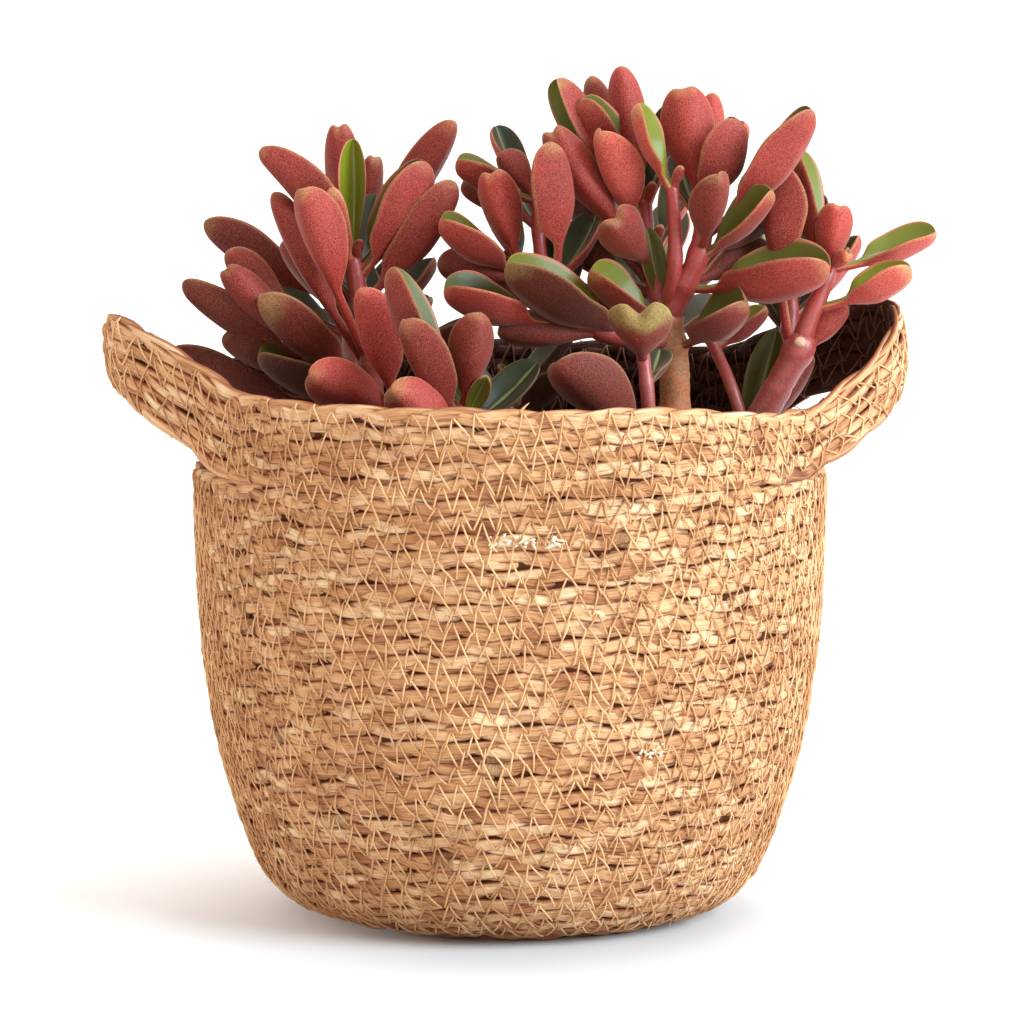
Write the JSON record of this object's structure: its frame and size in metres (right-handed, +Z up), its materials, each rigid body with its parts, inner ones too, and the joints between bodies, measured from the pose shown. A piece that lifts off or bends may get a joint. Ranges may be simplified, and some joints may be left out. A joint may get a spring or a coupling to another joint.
{
  "type": "potted ruby glow peperomia",
  "caption": "Ruby glow peperomia with thick wine-red leaves in a grow pot, standing in a coiled seagrass basket with two ear handles.",
  "frame": {"origin": "middle of the basket's flat underside, on the surface it stands on", "axes": "+Z up, +X towards the right ear handle as the picture shows it, +Y to the back, away from the viewer"},
  "size_m": [0.2011, 0.155, 0.2033],
  "materials": {
    "leaf_and_stem": "satin",
    "seagrass": "matte",
    "pot_plastic": "satin",
    "soil": "matte"
  },
  "bodies": {
    "root": {"basket": "seagrass", "nursery_pot": "pot_plastic", "potting_soil": "soil", "left_plant": "leaf_and_stem", "front_left_shoot": "leaf_and_stem", "centre_plant": "leaf_and_stem", "front_centre_shoot": "leaf_and_stem", "right_plant": "leaf_and_stem", "back_shoot": "leaf_and_stem"}
  },
  "joints": []
}
